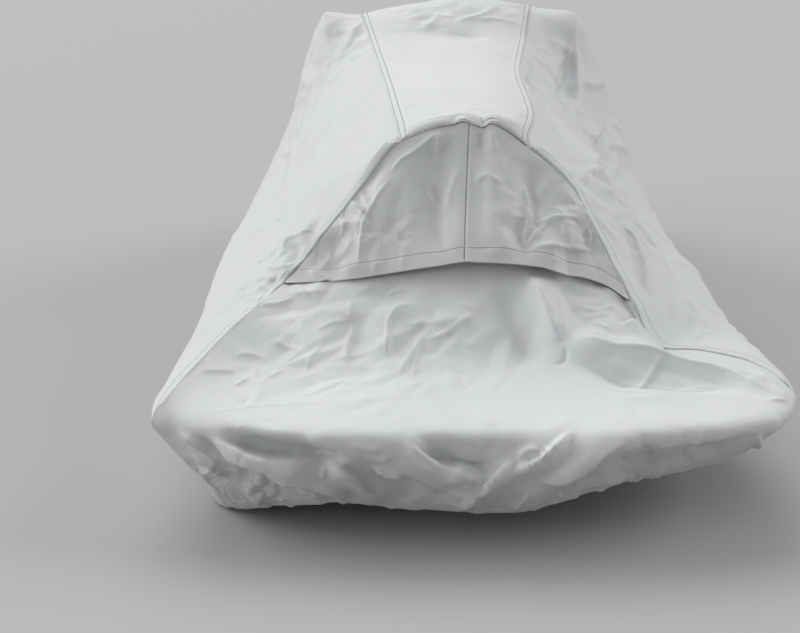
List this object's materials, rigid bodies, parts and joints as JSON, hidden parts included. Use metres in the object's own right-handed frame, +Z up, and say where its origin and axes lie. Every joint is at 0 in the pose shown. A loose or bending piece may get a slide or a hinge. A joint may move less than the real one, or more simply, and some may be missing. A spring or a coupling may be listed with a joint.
{
  "type": "personal watercraft cover",
  "caption": "Fitted hollow storage cover of light grey coated cloth, peaked over a handlebar, with a vent flap under a stitched arch and a gathered hem.",
  "frame": {"origin": "the mount top_rest, on the centreline just under the top panel, between the two peaks over the bar ends", "axes": "+X to the right of someone who looks forward, +Y forward from the stern to the bow, +Z up"},
  "size_m": [1.3081, 3.2543, 0.9433],
  "materials": {
    "cover_cloth": "light cool grey woven polyester with a matte coating and a slight sheen"
  },
  "bodies": {
    "root": {"top_panel": "cover_cloth", "side_panel_left": "cover_cloth", "side_panel_right": "cover_cloth", "rear_panel": "cover_cloth", "vent_flap_left": "cover_cloth", "vent_flap_right": "cover_cloth"}
  },
  "joints": []
}
